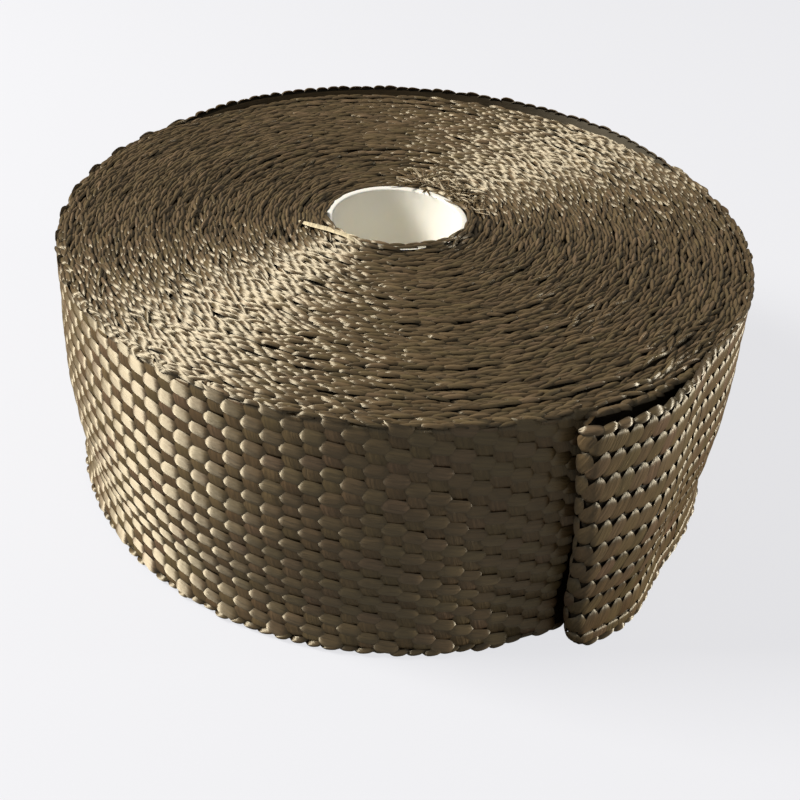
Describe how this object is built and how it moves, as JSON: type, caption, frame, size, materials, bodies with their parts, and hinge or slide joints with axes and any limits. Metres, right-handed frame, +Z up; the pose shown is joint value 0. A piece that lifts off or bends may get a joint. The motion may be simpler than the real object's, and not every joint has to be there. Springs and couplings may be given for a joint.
{
  "type": "exhaust heat wrap",
  "caption": "Roll of woven mineral fibre tape wound flat on a plastic tube, its outer end folded under, for wrapping hot exhaust pipes",
  "frame": {"origin": "middle of the end that the roll stands on, on the axis of the outermost turn", "axes": "+Z up along the axis of the outermost turn, +X to the right and -Y towards the viewer in the picture"},
  "size_m": [0.1338, 0.1338, 0.05],
  "materials": {
    "tube_plastic": "satin off-white moulded plastic",
    "woven_tape": "silky bronze-brown twill of continuous mineral fibre"
  },
  "bodies": {
    "root": {"core_tube": "tube_plastic", "tape_roll": "woven_tape"}
  },
  "joints": []
}
